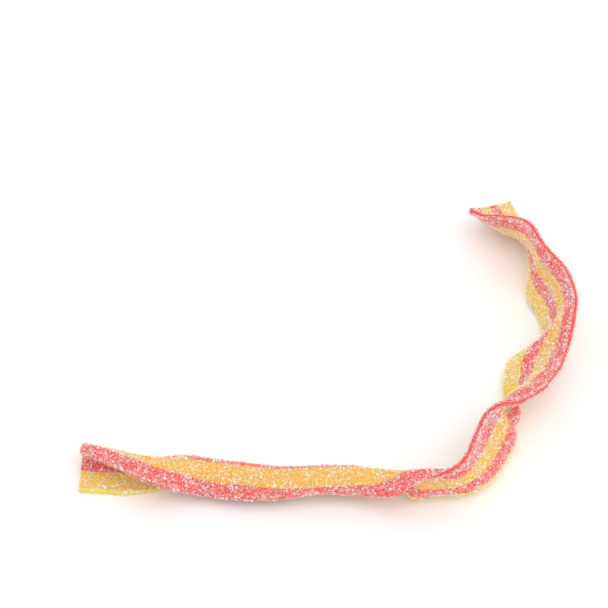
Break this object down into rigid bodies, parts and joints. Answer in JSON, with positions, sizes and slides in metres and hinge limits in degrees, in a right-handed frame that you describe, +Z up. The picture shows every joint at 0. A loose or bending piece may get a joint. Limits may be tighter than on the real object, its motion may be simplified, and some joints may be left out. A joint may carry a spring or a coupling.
{
  "type": "sour belt",
  "caption": "Sugared sour candy belt: one long flat striped ribbon of red and yellow jelly, lying folded over and twisted in a loose bend.",
  "frame": {"origin": "middle of the belt's box in plan, on the floor it lies on", "axes": "+Z up; the folded run lies along X, with its cut end at -X, and the other end reaches towards +Y on the +X side"},
  "size_m": [0.1423, 0.1167, 0.0207],
  "materials": {
    "sugared_candy": "soft jelly in red and yellow stripes under a coat of white sour sugar"
  },
  "bodies": {
    "root": {"belt": "sugared_candy"}
  },
  "joints": []
}
